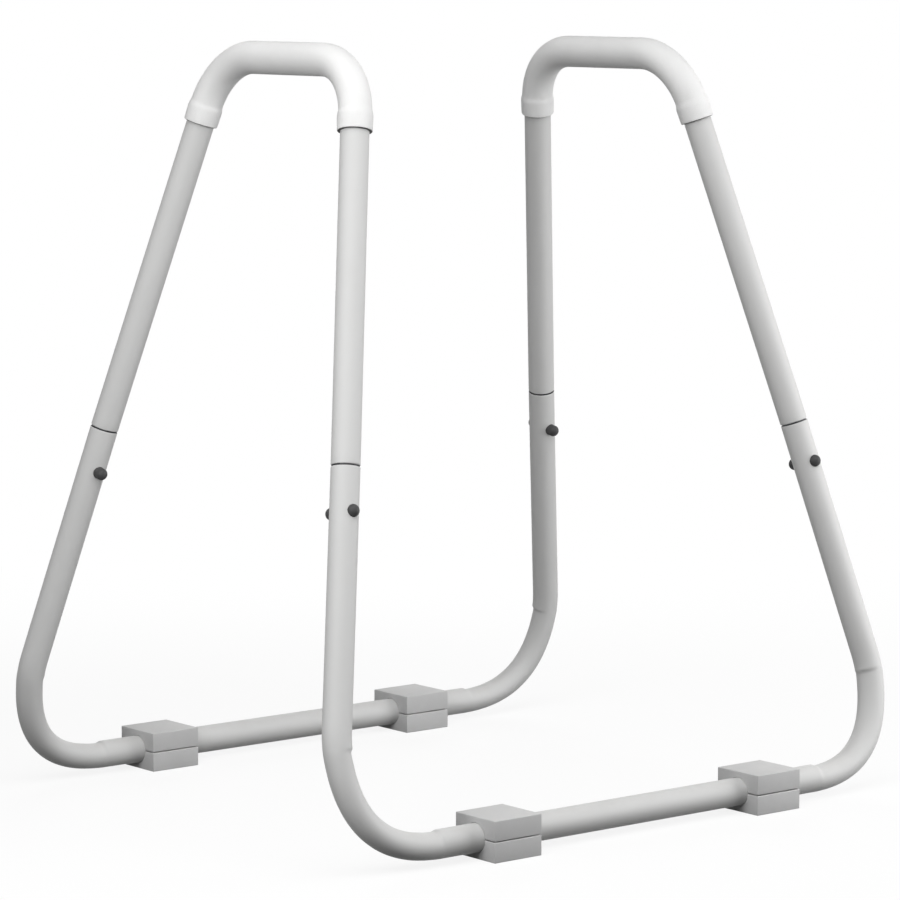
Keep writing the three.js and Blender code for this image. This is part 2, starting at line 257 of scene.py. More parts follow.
dust, dust_in, dust_out = new_group(
    "floor_dust",
    [("Top Height", "NodeSocketFloat", 0.12)],
    [("Mask", "NodeSocketFloat")],
)
facing = add_node(dust, "ShaderNodeSeparateXYZ")
surface = add_node(dust, "ShaderNodeNewGeometry")
dust.links.new(surface.outputs["Normal"], facing.inputs[0])
where = add_node(dust, "ShaderNodeSeparateXYZ")
read_place(dust, where.inputs[0])
up_share = remap(dust, facing.outputs["Z"], *FACING_UP)
depth = maths(dust, "DIVIDE", where.outputs["Z"], dust_in.outputs["Top Height"])
low_share = remap(dust, depth, *LOW_DOWN)
clouds = remap(dust, noise(dust, CLOUD_SCALE, 5.0, 0.7), *NOISE_RANGE)
settled = maths(dust, "MULTIPLY", up_share, low_share)
dust.links.new(maths(dust, "MULTIPLY", settled, clouds), dust_out.inputs["Mask"])
print("group:", dust.name)

# %% [markdown]
# ## The finishes
#
# Eight finishes dress the stand. Each starts from a Principled BSDF with its plain numbers set on
# the shader's own sockets. Only what changes over the surface is linked: colour, roughness and
# bump. On most of them the roughness follows the same broad noise as the tone.


# %% Start of a finish
def new_finish(name, **numbers):
    material = bpy.data.materials.new(name)
    tree = empty_tree(material)
    shader = add_node(tree, "ShaderNodeBsdfPrincipled", **numbers)
    output = add_node(tree, "ShaderNodeOutputMaterial")
    tree.links.new(shader.outputs[0], output.inputs["Surface"])
    return material, tree, shader


def use_skin(tree, colour, **numbers):
    return use_group(tree, skin, Colour=colour, **numbers)


def bump_from(tree, shader, height, depth, strength):
    node = add_node(tree, "ShaderNodeBump", Strength=strength, Distance=depth)
    tree.links.new(height, node.inputs["Height"])
    tree.links.new(node.outputs["Normal"], shader.inputs["Normal"])


def colour_and_gloss(tree, shader, colour, tone, glossy, dull):
    tree.links.new(colour, shader.inputs["Base Color"])
    tree.links.new(remap(tree, tone, *NOISE_RANGE, glossy, dull), shader.inputs["Roughness"])


def mix_by(tree, mask, strength, under, over):
    return mix_colours(tree, maths(tree, "MULTIPLY", mask, strength), under, over)


# %% [markdown]
# ### Powder coat on the tubes
#
# The tubes are steel under a light grey powder coat: nearly matt, slightly uneven, with a faint
# sheen from a thin clear coat. The orange peel is a shallow bump about 1.6 mm wide. The coat is a
# touch darker where it has been rubbed at an edge, and greyer and duller with dust low down.

# %% Finish: powder coat
TUBE_GREY = (0.61, 0.61, 0.605, 1.0)
RUBBED_GREY = (0.42, 0.42, 0.42, 1.0)
TUBE_DUST = (0.52, 0.51, 0.49, 1.0)

tube_finish, tree, shader = new_finish(
    "powder_coat", Roughness=0.55, Specular_IOR_Level=0.3, Coat_Weight=0.03, Coat_Roughness=0.4
)
coat = use_skin(tree, TUBE_GREY, Grain_Scale=620.0, Tone_Scale=7.0, Tone_Strength=0.10)
rubbed = use_group(tree, worn, Reach=0.0008, Patch_Scale=90.0)
film = use_group(tree, dust, Top_Height=0.10)
rubbed_colour = mix_by(tree, rubbed.outputs["Mask"], 0.55, coat.outputs["Colour"], RUBBED_GREY)
dusty_colour = mix_by(tree, film.outputs["Mask"], 0.25, rubbed_colour, TUBE_DUST)
tree.links.new(dusty_colour, shader.inputs["Base Color"])
gloss = remap(tree, coat.outputs["Tone"], *NOISE_RANGE, 0.50, 0.60)
dulled = maths(tree, "MULTIPLY", film.outputs["Mask"], 0.2)
tree.links.new(maths(tree, "ADD", gloss, dulled), shader.inputs["Roughness"])
bump_from(tree, shader, coat.outputs["Height"], 0.00012, 0.6)
print("finish:", tube_finish.name)

# %% [markdown]
# ### Foam of the grips
#
# The grips are closed-cell foam sleeves. Foam scatters light softly, so it is rough, has almost no
# highlight and a faint sheen at its rim. Its pores are a fine Voronoi pattern, sunk into the
# surface and a little darker inside, which is painted shade, and its tone drifts gently where hands
# have pressed and cleaned it.

# %% Finish: foam
FOAM_GREY = (0.84, 0.84, 0.835, 1.0)
PORE_SHADE_GREY = (0.60, 0.60, 0.60, 1.0)

grip_finish, tree, shader = new_finish(
    "grip_foam", Roughness=0.8, Specular_IOR_Level=0.25, Sheen_Weight=0.15, Sheen_Roughness=0.5
)
cells = use_skin(tree, FOAM_GREY, Grain_Scale=1500.0, Tone_Scale=14.0, Tone_Strength=0.16)
pores = add_node(tree, "ShaderNodeTexVoronoi", {"feature": "DISTANCE_TO_EDGE"}, Scale=900.0)
read_place(tree, pores.inputs["Vector"])
inside = remap(tree, pores.outputs["Distance"], 0.0, 0.22)
# Pore interiors are darkened a little: painted shade in the pores.
pore_shade_colour = mix_by(tree, inside, 0.10, cells.outputs["Colour"], PORE_SHADE_GREY)
colour_and_gloss(tree, shader, pore_shade_colour, cells.outputs["Tone"], 0.74, 0.86)
lift = maths(tree, "SUBTRACT", cells.outputs["Height"], maths(tree, "MULTIPLY", inside, 0.5))
bump_from(tree, shader, lift, 0.00025, 0.6)
print("finish:", grip_finish.name)

# %% [markdown]
# A grip is cut off square at its two mouths. The cut face lies in the shade of the collar, so it
# has a finish of its own with that shade painted in: a deep grey, darker still in its open pores,
# no sheen.

# %% Finish: cut foam with painted shade
# Both greys are painted shade: the cut face under the collar, and deeper in its open cells.
CUT_SHADE_GREY = (0.22, 0.22, 0.22, 1.0)
HOLLOW_SHADE_GREY = (0.10, 0.10, 0.10, 1.0)

cut_shade_finish, tree, shader = new_finish("cut_foam_painted_shade", Roughness=0.9, Specular_IOR_Level=0.15)
cells = use_skin(tree, CUT_SHADE_GREY, Grain_Scale=1500.0, Tone_Scale=200.0, Tone_Strength=0.5)
open_cells = add_node(tree, "ShaderNodeTexVoronoi", {"feature": "F1"}, Scale=1300.0)
read_place(tree, open_cells.inputs["Vector"])
hollow = remap(tree, open_cells.outputs["Distance"], 0.1, 0.6)
cut_shade_colour = mix_by(tree, hollow, 0.6, HOLLOW_SHADE_GREY, cells.outputs["Colour"])
colour_and_gloss(tree, shader, cut_shade_colour, cells.outputs["Tone"], 0.82, 0.95)
bump_from(tree, shader, hollow, 0.0003, 0.8)
print("finish:", cut_shade_finish.name)

# %% [markdown]
# ### Rubber of the feet
#
# The feet are moulded from firm grey rubber. A spark-eroded mould leaves an even, fine grain, edges
# get scuffed lighter, and dust stays on the top face.

# %% Finish: moulded rubber
FOOT_GREY = (0.54, 0.54, 0.54, 1.0)
SCUFFED_GREY = (0.68, 0.68, 0.67, 1.0)
FOOT_DUST = (0.60, 0.59, 0.57, 1.0)

foot_finish, tree, shader = new_finish("foot_rubber", Roughness=0.7, Specular_IOR_Level=0.35)
mould = use_skin(tree, FOOT_GREY, Grain_Scale=1100.0, Tone_Scale=26.0, Tone_Strength=0.20)
scuffed = use_group(tree, worn, Reach=0.0018, Patch_Scale=120.0)
film = use_group(tree, dust, Top_Height=0.10)
scuffed_colour = mix_by(tree, scuffed.outputs["Mask"], 0.6, mould.outputs["Colour"], SCUFFED_GREY)
dusty_colour = mix_by(tree, film.outputs["Mask"], 0.35, scuffed_colour, FOOT_DUST)
colour_and_gloss(tree, shader, dusty_colour, mould.outputs["Tone"], 0.62, 0.78)
bump_from(tree, shader, mould.outputs["Height"], 0.0003, 0.7)
print("finish:", foot_finish.name)

# %% [markdown]
# ### Black plastic of the buttons
#
# The buttons are moulded in black plastic with a fine grain. Its tone is uneven, and because the
# roughness follows the tone, the highlight on a dome breaks up.

# %% Finish: button plastic
BLACK = (0.066, 0.066, 0.067, 1.0)

button_finish, tree, shader = new_finish("button_plastic", Roughness=0.45, Specular_IOR_Level=0.12)
mould = use_skin(tree, BLACK, Grain_Scale=1600.0, Tone_Scale=120.0, Tone_Strength=0.5)
colour_and_gloss(tree, shader, mould.outputs["Colour"], mould.outputs["Tone"], 0.38, 0.54)
bump_from(tree, shader, mould.outputs["Height"], 0.00008, 0.5)
print("finish:", button_finish.name)

# %% [markdown]
# ### Bare metal inside
#
# The strip springs and the clamp screws are bare metal. The strip was rolled, so its tiny scratches
# run along it: noise that is squeezed in one direction by a Mapping node gives such streaks. The
# zinc on the screws is duller, with a cloudy tone. The spigots, which slide inside the lower legs,
# are blackened steel, because a coat there would bind in the bore. The same black is also painted
# on the lip faces of the lower legs and the lowest part of each neck as shade in the seam gap, so
# the joint shows as a dark ring.


# %% Finish: spring strip, zinc, and blackened steel with painted seam shade
def metal_finish(name, colour, rough_low, rough_high, squeeze):
    material, tree, shader = new_finish(name, Metallic=1.0, Roughness=rough_low)
    stretch = add_node(tree, "ShaderNodeMapping", Scale=squeeze)
    read_place(tree, stretch.inputs["Vector"])
    streaks = add_node(tree, "ShaderNodeTexNoise", Scale=1.0, Detail=4.0, Roughness=0.6)
    tree.links.new(stretch.outputs["Vector"], streaks.inputs["Vector"])
    film = use_skin(tree, colour, Grain_Scale=900.0, Tone_Scale=160.0, Tone_Strength=0.3)
    grain = streaks.outputs["Fac"]
    colour_and_gloss(tree, shader, film.outputs["Colour"], grain, rough_low, rough_high)
    bump_from(tree, shader, grain, 0.00004, 0.5)
    return material


STRIP_GREY = (0.62, 0.62, 0.63, 1.0)
ZINC_GREY = (0.46, 0.47, 0.48, 1.0)
# The spigot black also serves as painted shade in the seam gap.
SPIGOT_AND_SEAM_SHADE_BLACK = (0.07, 0.07, 0.073, 1.0)

spring_finish = metal_finish("spring_strip", STRIP_GREY, 0.22, 0.4, (1500.0, 1500.0, 90.0))
screw_finish = metal_finish("screw_zinc", ZINC_GREY, 0.32, 0.5, (400.0, 400.0, 400.0))
spigot_and_seam_shade_finish = metal_finish("spigot_steel_seam_shade", SPIGOT_AND_SEAM_SHADE_BLACK, 0.45, 0.65, (700.0, 700.0, 120.0))
print("finishes:", spring_finish.name, screw_finish.name, spigot_and_seam_shade_finish.name)

# %% [markdown]
# ## Where the tubes run
#
# All four tubes are planned on four legs. A lower leg rises from its corner on the floor to its
# lip, where the handle tube plugs in, and just above the lip, at the neck, the upper leg goes on to
# its corner at the handle. The joint has a little play, so the legs bow outward there by 3 mm. What
# sits on a leg, such as the button and the end of the grip, is a distance along it.

# %% The four legs
BASE_CORNER = Vector((0.4586, 0.3479, 0.0252))
HANDLE_CORNER = Vector((0.2565, 0.1367, 0.932))
SEAM_HEIGHT = 0.464
SEAM_BOW = Vector((0.0009, 0.00315, 0.0))
SEAM_GAP = 0.0015
BUTTON_DROP = 0.053
SIDES = {"left": -1.0, "right": 1.0}
ENDS = {"front": -1.0, "rear": 1.0}


def make_leg(end, side):
    flip = Vector((SIDES[side], ENDS[end], 1.0))
    bottom, top = BASE_CORNER * flip, HANDLE_CORNER * flip
    lip = bottom.lerp(top, (SEAM_HEIGHT - bottom.z) / (top.z - bottom.z)) + SEAM_BOW * flip
    up = (lip - bottom).normalized()
    neck = lip + up * SEAM_GAP
    straight_out = Vector((0.0, ENDS[end], 0.0))
    outward = (straight_out - up * straight_out.dot(up)).normalized()
    leg = dict(bottom=bottom, top=top, lip=lip, neck=neck, up=up, outward=outward)
    return dict(leg, upper_up=(top - neck).normalized(), button=lip - up * BUTTON_DROP)


legs = {(end, side): make_leg(end, side) for end in ENDS for side in SIDES}
bow = math.degrees(legs["front", "left"]["up"].angle(legs["front", "left"]["upper_up"]))
print("a leg's two halves meet at", round(bow, 2), "degrees")

# %% [markdown]
# ## Tube tools
#
# A tube is a ring of points that is pushed along a path. Straight stretches are an extrusion of the
# ring's edges, and bends are a spin about the bend's centre, which is how a tube bender makes them
# too. The ring's radius changes as it is pushed where a tube is necked or a cutter flares. Where
# two stretches meet at a slight angle, the ring itself is turned.


# %% Push a ring along and turn it
def stand_at(centre, way):
    return Matrix.Translation(centre) @ way.to_track_quat("Z", "Y").to_matrix().to_4x4()


def start_ring(shape, centre, way, radius, sides):
    made = bmesh.ops.create_circle(
        shape, cap_ends=False, segments=sides, radius=radius, matrix=stand_at(centre, way)
    )
    points = made["verts"]
    edges = list(dict.fromkeys(edge for point in points for edge in point.link_edges))
    return {"points": points, "edges": edges, "centre": centre}


def ring_of(geometry, centre):
    points = [item for item in geometry if isinstance(item, bmesh.types.BMVert)]
    known = set(points)
    edges = [e for e in geometry if isinstance(e, bmesh.types.BMEdge) and set(e.verts) <= known]
    return {"points": points, "edges": edges, "centre": centre}


def push_straight(shape, ring, way, change=0.0):
    made = bmesh.ops.extrude_edge_only(shape, edges=ring["edges"])
    pushed = ring_of(made["geom"], ring["centre"] + way)
    bmesh.ops.translate(shape, verts=pushed["points"], vec=way)
    for point in pushed["points"]:
        out = point.co - pushed["centre"]
        point.co = pushed["centre"] + out * (1.0 + change / out.length)
    return pushed


def push_round(shape, ring, bend, steps):
    made = bmesh.ops.spin(
        shape,
        geom=ring["points"] + ring["edges"],
        cent=bend["pivot"],
        axis=bend["axis"],
        angle=bend["turn"],
        steps=steps,
        use_merge=False,
        use_duplicate=False,
    )
    spoke = Matrix.Rotation(bend["turn"], 3, bend["axis"]) @ (ring["centre"] - bend["pivot"])
    return ring_of(made["geom_last"], spoke + bend["pivot"])


def push_stops(shape, ring, way, stops):
    for near, far in zip(stops, stops[1:]):
        ring = push_straight(shape, ring, way * (far - near))
    return ring


def turn_ring(shape, ring, old_way, new_way):
    turn = old_way.rotation_difference(new_way).to_matrix()
    bmesh.ops.rotate(shape, verts=ring["points"], cent=ring["centre"], matrix=turn)


print("tube tools ready")

# %% [markdown]
# A bend between two straight stretches touches both of them. From the corner where they would meet,
# it starts and ends `radius * tan(turn / 2)` away, and its pivot lies `radius` to the inner side.


# %% Plan a bend
def plan_bend(before, corner, after, radius):
    way_in = (corner - before).normalized()
    way_out = (after - corner).normalized()
    turn = way_in.angle(way_out)
    axis = way_in.cross(way_out).normalized()
    start = corner - way_in * radius * math.tan(turn / 2)
    pivot = start + axis.cross(way_in) * radius
    end = corner + way_out * radius * math.tan(turn / 2)
    bend = dict(start=start, end=end, pivot=pivot, axis=axis, turn=turn, radius=radius)
    return dict(bend, way_in=way_in, way_out=way_out)


print("bend planner ready")

# %% [markdown]
# All pieces share their last steps: merging, smoothing, and riding on a body, but for a piece that
# bends across a joint, which gets no body here. Holes are cut after that, with a cutter that is a
# ring pushed along an outline of places and radii. Where a piece has a second finish, a rule says
# which of its faces take it.

# %% Finish a piece and cut it
MERGE_WITHIN = 1e-6
SHARP_ANGLE = math.radians(32)


def round_edges(shape, edges, offset, segments):
    bmesh.ops.bevel(
        shape,
        geom=edges,
        offset=offset,
        segments=segments,
        profile=0.5,
        affect="EDGES",
        material=-1,
    )


def object_from(name, shape):
    mesh = bpy.data.meshes.new(name)
    shape.to_mesh(mesh)
    shape.free()
    made = bpy.data.objects.new(name, mesh)
    bpy.context.scene.collection.objects.link(made)
    return made


def finish_piece(shape, name, material, slot_name, body, *nodes):
    bmesh.ops.remove_doubles(shape, verts=shape.verts, dist=MERGE_WITHIN)
    bmesh.ops.recalc_face_normals(shape, faces=shape.faces)
    piece = object_from(name, shape)
    piece.data.shade_smooth()
    piece.data.set_sharp_from_angle(angle=SHARP_ANGLE)
    piece.data.materials.append(material)
    if body:
        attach(piece, body)
    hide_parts(*nodes)
    return piece


def refinish(piece, material, is_chosen):
    piece.data.materials.append(material)
    chosen = [face for face in piece.data.polygons if is_chosen(face)]
    for face in chosen:
        face.material_index = 1
    return len(chosen)


def cut_with(piece, cutter):
    hole = piece.modifiers.new("hole", "BOOLEAN")
    hole.operation = "DIFFERENCE"
    hole.solver = "EXACT"
    hole.object = cutter
    bpy.context.view_layer.update()
    cut_piece = piece.evaluated_get(bpy.context.evaluated_depsgraph_get())
    cut_mesh = bpy.data.meshes.new_from_object(cut_piece)
    piece.modifiers.clear()
    old_mesh = piece.data
    piece.data = cut_mesh
    cut_mesh.name = piece.name
    bpy.data.meshes.remove(old_mesh)
    bpy.data.objects.remove(cutter)
    piece.data.set_sharp_from_angle(angle=SHARP_ANGLE)


def round_cutter(name, middle, way, outline, sides):
    shape = bmesh.new()
    first = start_ring(shape, middle + way * outline[0][0], way, outline[0][1], sides)
    last = first
    for (near, wide), (far, narrow) in zip(outline, outline[1:]):
        last = push_straight(shape, last, way * (far - near), narrow - wide)
    for rim in (first, last):
        bmesh.ops.contextual_create(shape, geom=rim["edges"])
    bmesh.ops.recalc_face_normals(shape, faces=shape.faces)
    return object_from(name, shape)


print("cutters ready")

# %% [markdown]
# ## The base tubes
#
# Each base tube is one length of 35 mm tube: a bar across the floor whose ends turn up into the
# lower legs. A plain spin would give a perfect bend, and the real ones aren't. The bender draws the
# tube inward as it starts and again as it ends, and its die presses the inner side, so that the
# section is an oval with a small sharp shoulder at either end of the die. So the bends are spun
# first. Then every point is found again by how far along the bend it lies, and moved by two plain
# tables: how far the middle of the tube has drifted inward, and how much of the press it feels.

# %% Base tube sizes
TUBE_RADIUS = 0.0175
TUBE_WALL = 0.0015
TUBE_SIDES = 64
BASE_BEND_RADIUS = 0.1125
BASE_BEND_STEPS = 100
BEND_DRIFT = [
    (-0.014, 0.0), (0.038, 0.0035), (0.044, 0.0035), (0.118, 0.0004),
    (0.130, 0.0004), (0.176, 0.00155), (0.184, 0.00155), (0.218, 0.0),
]
PRESS_SHARE = [(0.008, 0.0), (0.014, 1.0), (0.2105, 1.0), (0.217, 0.0)]
BEND_PRESS = 0.0025
PRESS_TURN = math.radians(20)
LIP_ROUND = 0.0005
AT_LIP = 1e-5
BUTTON_RADIUS = 0.0075
HOLE_RADIUS = 0.0078
DRILL = [(-0.03, HOLE_RADIUS), (0.03, HOLE_RADIUS)]
DRILL_SIDES = 40
HOLE_STOPS = [0.0, 0.002, 0.02, 0.042, 0.05, 0.06, 0.068, 0.09]
RING_STEP = 0.002
LEG_RINGS = 8
BAR_RINGS = 12
FACES_UP = 0.9


def read_table(table, distance):
    if distance <= table[0][0]:
        return table[0][1]
    for (near, low), (far, high) in zip(table, table[1:]):
        if distance < far:
            share = (distance - near) / (far - near)
            return low + (high - low) * share * share * (3.0 - 2.0 * share)
    return table[-1][1]


def place_on_bend(point, bend):
    before = (point - bend["start"]).dot(bend["way_in"])
    after = (point - bend["end"]).dot(bend["way_out"])
    arc = bend["turn"] * bend["radius"]
    if before < 0.0:
        centre = bend["start"] + bend["way_in"] * before
        return before, centre, (bend["pivot"] - bend["start"]).normalized()
    if after > 0.0:
        centre = bend["end"] + bend["way_out"] * after
        return arc + after, centre, (bend["pivot"] - bend["end"]).normalized()
    out = point - bend["pivot"]
    out = (out - bend["axis"] * out.dot(bend["axis"])).normalized()
    along = (bend["start"] - bend["pivot"]).angle(out) * bend["radius"]
    return along, bend["pivot"] + out * bend["radius"], -out


def press_bend(points, bend, outward):
    for point in points:
        if point.co.x * bend["start"].x < 0.0:
            continue
        distance, centre, inward = place_on_bend(point.co, bend)
        press_way = inward * math.cos(PRESS_TURN) + outward * math.sin(PRESS_TURN)
        reach = 0.5 + 0.5 * (point.co - centre).dot(press_way) / TUBE_RADIUS
        point.co += inward * read_table(BEND_DRIFT, distance)
        point.co -= press_way * (reach * BEND_PRESS * read_table(PRESS_SHARE, distance))


print("bend table ends", BEND_DRIFT[-1][0], "m past the start of the bend")

# %% [markdown]
# The two ends of a tube are alike, so its path is written once: lip, bend, bar, bend, lip. Around
# the button hole the ring is repeated a few times, which keeps the faces there short and the
# shading even once the hole is cut, and it is repeated every two millimetres near the bends, where
# the tables move it. The rim of the lip is bevelled once the tube has its wall.


# %% Make the base tubes
def round_lips(shape, lips):
    rims = []
    for edge in shape.edges:
        middle = (edge.verts[0].co + edge.verts[1].co) / 2
        for lip, up in lips:
            at_lip = all(abs((point.co - lip).dot(up)) < AT_LIP for point in edge.verts)
            outer = (middle - lip).length > TUBE_RADIUS - TUBE_WALL / 2
            if at_lip and outer and len(edge.link_faces) == 2:
                rims.append(edge)
    round_edges(shape, rims, LIP_ROUND, 3)
    return len(rims)


# The upward lip faces take the spigots' black as painted shade in the seam gap.
def darken_lips_as_seam_shade(tube, lips):
    def on_lip(face):
        near = [up for lip, up in lips if (face.center - lip).length < TUBE_RADIUS]
        return any(face.normal.dot(up) > FACES_UP for up in near)

    return refinish(tube, spigot_and_seam_shade_finish, on_lip)


def finish_tube(shape, node, legs_of_tube):
    tube = finish_piece(shape, f"{node}_skin", tube_finish, "tube", "frame", node)
    for leg in legs_of_tube:
        cut_with(tube, round_cutter("drill", leg["button"], leg["outward"], DRILL, DRILL_SIDES))
    return tube


def give_wall(shape):
    bmesh.ops.recalc_face_normals(shape, faces=shape.faces)
    bmesh.ops.solidify(shape, geom=shape.faces, thickness=TUBE_WALL)


def make_base_tube(end):
    left, right = legs[end, "left"], legs[end, "right"]
    first = plan_bend(left["lip"], left["bottom"], right["bottom"], BASE_BEND_RADIUS)
    second = plan_bend(left["bottom"], right["bottom"], right["lip"], BASE_BEND_RADIUS)
    mirrored = plan_bend(right["lip"], right["bottom"], left["bottom"], BASE_BEND_RADIUS)
    to_bend = (first["start"] - left["lip"]).length
    stops = HOLE_STOPS + [to_bend - RING_STEP * step for step in range(LEG_RINGS, -1, -1)]
    along_bar = (second["start"] - first["end"]).length
    bar_stops = [RING_STEP * step for step in range(BAR_RINGS)]
    bar_stops += [along_bar - stop for stop in bar_stops[::-1]]
    shape = bmesh.new()
    ring = start_ring(shape, left["lip"], -left["up"], TUBE_RADIUS, TUBE_SIDES)
    ring = push_stops(shape, ring, -left["up"], stops)
    ring = push_round(shape, ring, first, BASE_BEND_STEPS)
    ring = push_stops(shape, ring, first["way_out"], bar_stops)
    ring = push_round(shape, ring, second, BASE_BEND_STEPS)
    push_stops(shape, ring, -right["up"], stops[::-1])
    for bend in (first, mirrored):
        straight_out = bend["axis"] * math.copysign(1.0, bend["axis"].y * ENDS[end])
        press_bend(shape.verts, bend, straight_out)
    give_wall(shape)
    lips = [(leg["lip"], leg["up"]) for leg in (left, right)]
    rounded_edges = round_lips(shape, lips)
    tube = finish_tube(shape, f"base_tube_{end}", (left, right))
    print(end, "base tube:", rounded_edges, "rim edges,", darken_lips_as_seam_shade(tube, lips), "bare faces")
    return tube


for end in ENDS:
    tube = make_base_tube(end)
    print(tube.name, len(tube.data.polygons), "faces")

# %% [markdown]
# ## The handle tubes
#
# A handle tube is an upside-down U. Its last 86 mm are swaged down to a spigot that slides into the
# lower leg, so at the joint the full tube necks in and leaves a dark line above the lip. The neck
# ends in a quarter circle: the swage pulls the wall inward sharply below and rounds it above. Faces
# below the lowest part of the neck take the piece's second material, the spigot's black steel,
# which there also serves as painted shade in the seam gap.

# %% Make the handle tubes
HANDLE_BEND_RADIUS = 0.0835
HANDLE_BEND_STEPS = 36
SPIGOT_LENGTH = 0.086
NECK_LENGTH = 0.0018
NECK_DEPTH = 0.0018
NECK_STEPS = 6
SEAM_SHADE_SHARE = 0.3
SPIGOT_STOPS = [0.0, 0.02, 0.035, 0.043, 0.052, SPIGOT_LENGTH + SEAM_GAP]
ABOVE_NECK = 0.01


def plan_handle(side):
    front, rear = legs["front", side], legs["rear", side]
    first = plan_bend(front["neck"], front["top"], rear["top"], HANDLE_BEND_RADIUS)
    second = plan_bend(front["top"], rear["top"], rear["neck"], HANDLE_BEND_RADIUS)
    return front, rear, first, second


def darken_below_neck_as_seam_shade(tube, legs_of_tube):
    def below_neck(face):
        heights = [(face.center - leg["neck"]).dot(leg["up"]) for leg in legs_of_tube]
        return min(heights) < NECK_LENGTH * SEAM_SHADE_SHARE

    return refinish(tube, spigot_and_seam_shade_finish, below_neck)


def make_handle_tube(side):
    front, rear, first, second = plan_handle(side)
    angles = [math.pi / 2 * step / NECK_STEPS for step in range(NECK_STEPS + 1)]
    neck = [
        (NECK_LENGTH * (math.cos(a) - math.cos(b)), NECK_DEPTH * (math.sin(b) - math.sin(a)))
        for a, b in zip(angles, angles[1:])
    ]
    shape = bmesh.new()
    tip = front["lip"] - front["up"] * SPIGOT_LENGTH
    ring = start_ring(shape, tip, front["up"], TUBE_RADIUS - NECK_DEPTH, TUBE_SIDES)
    ring = push_stops(shape, ring, front["up"], SPIGOT_STOPS)
    turn_ring(shape, ring, front["up"], front["upper_up"])
    for length, growth in neck:
        ring = push_straight(shape, ring, front["upper_up"] * length, growth)
    ring = push_straight(shape, ring, front["upper_up"] * ABOVE_NECK)
    ring = push_straight(shape, ring, first["start"] - ring["centre"])
    ring = push_round(shape, ring, first, HANDLE_BEND_STEPS)
    ring = push_straight(shape, ring, second["start"] - ring["centre"])
    ring = push_round(shape, ring, second, HANDLE_BEND_STEPS)
    shoulder = rear["neck"] + rear["upper_up"] * NECK_LENGTH
    ring = push_straight(shape, ring, shoulder + rear["upper_up"] * ABOVE_NECK - ring["centre"])
    ring = push_straight(shape, ring, shoulder - ring["centre"])
    for length, growth in neck[::-1]:
        ring = push_straight(shape, ring, -rear["upper_up"] * length, -growth)
    turn_ring(shape, ring, rear["upper_up"], rear["up"])
    push_stops(shape, ring, rear["up"], SPIGOT_STOPS[::-1])
    give_wall(shape)
    tube = finish_tube(shape, f"handle_tube_{side}", (front, rear))
    print(side, "handle tube:", darken_below_neck_as_seam_shade(tube, (front, rear)), "bare faces")
    return tube


for side in SIDES:
    tube = make_handle_tube(side)
    print(tube.name, len(tube.data.polygons), "faces")

# %% [markdown]
# ## The foam grips
#
# A grip is a foam sleeve 2.5 mm thick that follows the handle round both bends and a little way
# down each leg. It ends in a collar: over the last 18.5 mm the foam swells by another 1.4 mm,
# fullest at its upper part and a little leaner towards the mouth, whose rim is round. The collar
# has no edge of its own, so its swell fades over 9.5 mm. The sleeve is spun plain first, and then
# each point is moved by a rule that knows only its distance from the mouth, because the collars
# reach into the bends.

# %% Grip sizes
GRIP_RADIUS = 0.0203
GRIP_BORE = 0.0178
GRIP_END_DROP = 0.0831
COLLAR_RISE = 0.0014
COLLAR_LEAN = 0.0005
COLLAR_LENGTH = 0.0185
COLLAR_SLOPE = 0.0095
COLLAR_ROUND = 0.0015
CUT_SHARE = 0.4
FACES_DOWN = -0.5
RIM_STOPS = [0.0, 0.0001, 0.0003, 0.0006, 0.001, 0.0015, 0.003, 0.006, 0.010, 0.014, 0.017]
SLOPE_RINGS = 8
LEAST_STEP = 0.0002
GRIP_BEND_STEPS = 3 * HANDLE_BEND_STEPS


def collar_rise(distance):
    rise = COLLAR_RISE - COLLAR_LEAN * (1.0 - min(distance / COLLAR_LENGTH, 1.0)) ** 2
    if distance < COLLAR_ROUND:
        fall = 1.0 - distance / COLLAR_ROUND
        rise -= COLLAR_ROUND * (1.0 - math.sqrt(max(0.0, 1.0 - fall * fall)))
    if distance > COLLAR_LENGTH:
        share = min((distance - COLLAR_LENGTH) / COLLAR_SLOPE, 1.0)
        rise *= 1.0 - share * share * (3.0 - 2.0 * share)
    return rise


print("collar swells by", round(1000 * collar_rise(COLLAR_LENGTH), 2), "mm")


